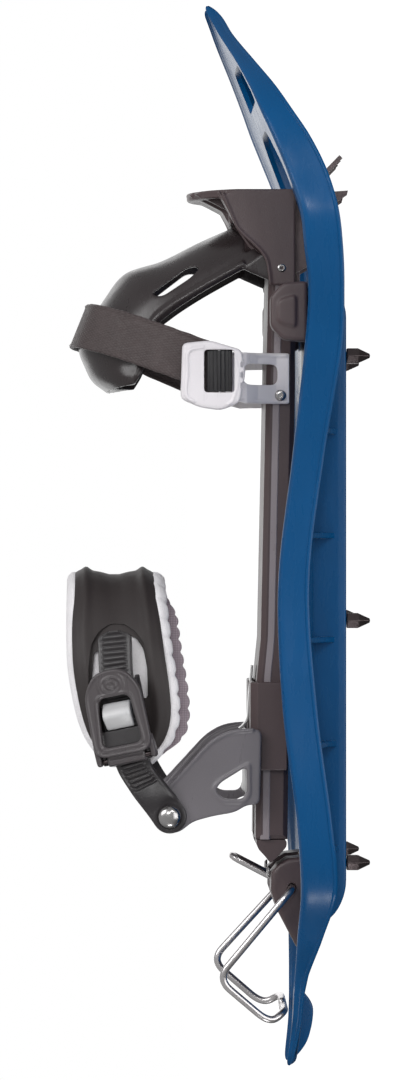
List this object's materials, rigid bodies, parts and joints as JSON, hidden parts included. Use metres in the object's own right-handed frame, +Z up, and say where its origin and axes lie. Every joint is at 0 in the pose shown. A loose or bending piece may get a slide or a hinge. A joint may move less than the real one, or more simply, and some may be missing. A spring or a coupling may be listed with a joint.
{
  "type": "snowshoe",
  "caption": "Moulded hourglass snowshoe deck with spikes under it and a pivoting toe and heel binding, heel lift wire and ratchet ankle strap.",
  "frame": {"origin": "middle of the deck's length and width, at the height of the ground spikes' tips", "axes": "+Y towards the toe tip, +X towards the buckle side (right foot, outer side), +Z up"},
  "size_m": [0.2118, 0.57, 0.1613],
  "materials": {
    "deck_plastic": "injection moulded, satin gloss",
    "brown_plastic": "moulded, fine grain",
    "charcoal_plastic": "moulded, satin",
    "black_plastic": "moulded, fine grain",
    "white_plastic": "moulded, satin",
    "foam": "closed cell foam, soft",
    "webbing": "plain woven polyester webbing",
    "steel": "polished",
    "wire": "bright plated",
    "dark_steel": "dark heat treated"
  },
  "bodies": {
    "frame": {"deck": "deck_plastic", "spike_front_right": "dark_steel", "spike_front_left": "dark_steel", "spike_middle_right": "dark_steel", "spike_middle_left": "dark_steel", "spike_rear_right": "dark_steel", "spike_rear_left": "dark_steel", "pivot_axle": "steel", "pivot_housing_right": "brown_plastic", "pivot_housing_left": "brown_plastic", "heel_lift_block": "brown_plastic", "block_screw_right": "steel", "block_screw_left": "steel"},
    "binding": {"sole_plate": "brown_plastic", "plate_end_cap_right": "brown_plastic", "plate_end_cap_left": "brown_plastic", "toe_bumper": "brown_plastic", "toe_claw": "dark_steel", "claw_rivet_right": "steel", "claw_rivet_left": "steel", "toe_yoke": "charcoal_plastic", "yoke_screw_right": "steel", "yoke_screw_left": "steel", "toe_webbing": "webbing", "toe_link_right": "white_plastic", "toe_link_left": "white_plastic", "link_rivet_right": "steel", "link_rivet_left": "steel", "toe_buckle_frame": "white_plastic", "cam_pin": "steel"},
    "toe_cam": {"toe_buckle_cam": "black_plastic"},
    "heel_unit": {"heel_carriage": "brown_plastic", "heel_cup": "charcoal_plastic", "heel_rivet_right": "steel", "heel_rivet_left": "steel"},
    "length_latch": {"length_latch": "steel"},
    "ankle_strap": {"ankle_liner": "foam", "ankle_shell": "black_plastic", "ladder_strap": "black_plastic", "strap_left": "black_plastic", "ratchet_base": "black_plastic", "ratchet_lever_pin": "steel"},
    "ratchet_lever": {"ratchet_lever": "black_plastic"},
    "ratchet_pawl": {"ratchet_pawl": "white_plastic"},
    "heel_lift": {"heel_lift_bail": "wire"}
  },
  "joints": [
    {"name": "binding_pivot", "type": "hinge", "parent": "frame", "child": "binding", "pos_m": [0, 0.118, 0.0435], "axis": [-1, 0, 0], "range_deg": [0, 65]},
    {"name": "boot_length_slide", "type": "slide", "parent": "binding", "child": "heel_unit", "axis": [0, 1, 0], "range_m": [-0.004, 0.04]},
    {"name": "ankle_strap_swing", "type": "hinge", "parent": "heel_unit", "child": "ankle_strap", "pos_m": [0, -0.149, 0.106], "axis": [1, 0, 0], "range_deg": [-18, 35]},
    {"name": "heel_lift_swing", "type": "hinge", "parent": "frame", "child": "heel_lift", "pos_m": [0, -0.188, 0.0405], "axis": [-1, 0, 0], "range_deg": [0, 55]},
    {"name": "ratchet_lever_hinge", "type": "hinge", "parent": "ankle_strap", "child": "ratchet_lever", "pos_m": [0.06556, -0.11709, 0.1284], "axis": [0.233, 0.1987, -0.952], "range_deg": [0, 45]},
    {"name": "ratchet_pawl_hinge", "type": "hinge", "parent": "ankle_strap", "child": "ratchet_pawl", "pos_m": [0.0657, -0.09994, 0.13202], "axis": [0.233, 0.1987, -0.952], "range_deg": [0, 12], "stiffness_Nm_per_rad": 0.05, "springref_deg": -11.46},
    {"name": "toe_cam_hinge", "type": "hinge", "parent": "binding", "child": "toe_cam", "pos_m": [0.0626, 0.0868, 0.08], "axis": [0, 1, 0], "range_deg": [0, 12], "stiffness_Nm_per_rad": 0.05, "springref_deg": -11.46},
    {"name": "length_latch_hinge", "type": "hinge", "parent": "heel_unit", "child": "length_latch", "pos_m": [0, -0.071, 0.061], "axis": [-1, 0, 0], "range_deg": [0, 10], "stiffness_Nm_per_rad": 0.2, "springref_deg": -5.73}
  ]
}
